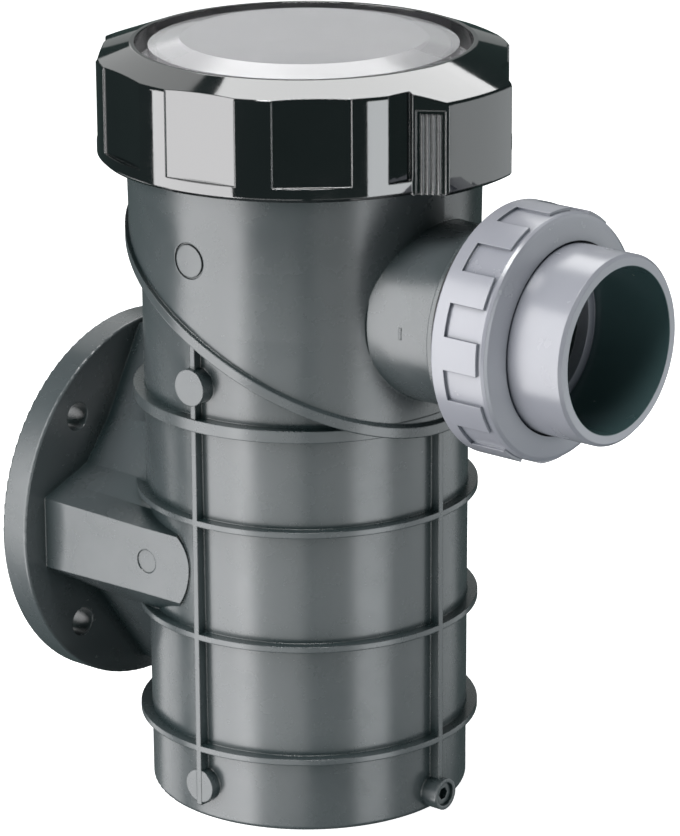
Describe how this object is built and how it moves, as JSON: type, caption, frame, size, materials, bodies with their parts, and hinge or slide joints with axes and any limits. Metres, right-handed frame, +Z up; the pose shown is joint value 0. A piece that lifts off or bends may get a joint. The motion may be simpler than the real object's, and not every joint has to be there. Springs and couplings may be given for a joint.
{
  "type": "sea water strainer",
  "caption": "Upright moulded sea water strainer with flanged outlet, union inlet, screwed clear lid and lift-out basket",
  "frame": {"origin": "centre of the foot, on the tank's axis, in the plane the tank stands on", "axes": "+Z up along the tank's axis; +X along the inlet union, away from the tank; -X out of the outlet flange"},
  "size_m": [0.29, 0.1886, 0.3582],
  "materials": {
    "tank_grey": "satin moulded plastic, dark grey",
    "ring_black": "glossy black",
    "lid_clear": "clear, faintly frosted",
    "union_grey": "light grey, semi-gloss",
    "seal_black": "matt black",
    "basket_grey": "light grey moulded plastic",
    "handle_steel": "stainless wire"
  },
  "bodies": {
    "housing": {"strainer_body": "tank_grey", "lid_o_ring": "seal_black", "strainer_basket": "basket_grey", "union_o_ring": "seal_black"},
    "lid": {"clear_lid": "lid_clear"},
    "ring": {"lid_ring": "ring_black"},
    "pipe_end": {"union_end": "union_grey"},
    "nut": {"union_nut": "union_grey"},
    "drain_seal": {"drain_o_ring": "seal_black"},
    "plug": {"drain_plug": "tank_grey"},
    "handle": {"basket_handle": "handle_steel"}
  },
  "joints": [
    {"name": "lid_lift", "type": "slide", "parent": "housing", "child": "lid", "axis": [0, 0, 1], "range_m": [0, 0.0351]},
    {"name": "ring_turn", "type": "hinge", "parent": "lid", "child": "ring", "pos_m": [0, 0, 0.338], "axis": [0, 0, 1], "range_deg": [0, 1260]},
    {"name": "union_pull", "type": "slide", "parent": "housing", "child": "pipe_end", "axis": [1, 0, 0], "range_m": [0, 0.0201]},
    {"name": "nut_turn", "type": "hinge", "parent": "pipe_end", "child": "nut", "pos_m": [0.13, 0, 0.2426], "axis": [1, 0, 0], "range_deg": [0, 1440]},
    {"name": "plug_out", "type": "slide", "parent": "housing", "child": "drain_seal", "axis": [1, 0, 0], "range_m": [0, 0.012]},
    {"name": "plug_turn", "type": "hinge", "parent": "drain_seal", "child": "plug", "pos_m": [0.078, 0, 0.0088], "axis": [1, 0, 0], "range_deg": [0, 2161]},
    {"name": "handle_swing", "type": "hinge", "parent": "housing", "child": "handle", "pos_m": [0, 0, 0.2467], "axis": [0, 1, 0], "range_deg": [-52, 85]}
  ],
  "couplings": [
    {"joint": "lid_lift", "follows": "ring_turn", "m_per_rad": 0.0015915},
    {"joint": "union_pull", "follows": "nut_turn", "m_per_rad": 0.00079577},
    {"joint": "plug_turn", "follows": "plug_out", "rad_per_m": 3141.6}
  ]
}
